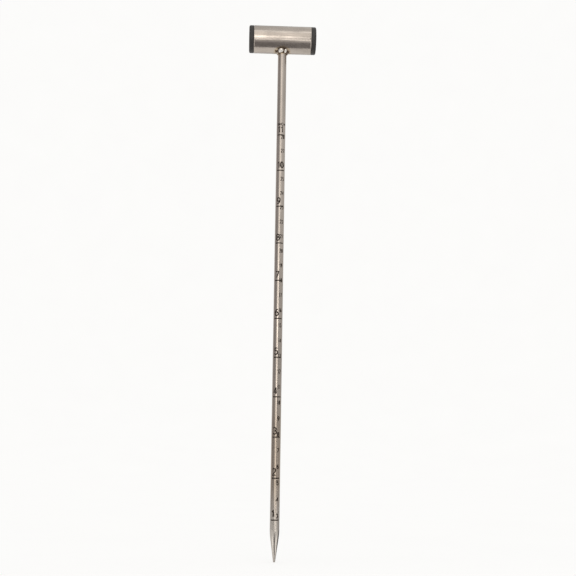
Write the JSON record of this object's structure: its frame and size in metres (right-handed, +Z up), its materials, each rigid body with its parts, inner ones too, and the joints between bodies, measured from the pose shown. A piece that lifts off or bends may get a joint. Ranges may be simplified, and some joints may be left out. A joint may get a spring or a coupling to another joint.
{
  "type": "garden dibber",
  "caption": "Slim all-steel garden dibber: a pointed rod with an etched inch and centimetre depth scale, welded under a short T-handle tube with black end plugs.",
  "frame": {"origin": "the very point of the rod, which is the zero of the depth scale", "axes": "+Z up along the rod from point to handle, X along the handle tube, the depth scale faces -Y"},
  "size_m": [0.0466, 0.019, 0.3607],
  "materials": {
    "ground_steel": "bright drawn rod, finely ground lengthwise, with dark etched graduations",
    "polished_steel": "satin-polished stainless tube",
    "weld_steel": "rippled weld with straw and brown heat tint at its toes",
    "black_plastic": "finely textured moulded polyethylene"
  },
  "bodies": {
    "root": {"shaft_rod": "ground_steel", "handle_tube": "polished_steel", "weld_bead": "weld_steel", "end_plug_left": "black_plastic", "end_plug_right": "black_plastic"}
  },
  "joints": []
}
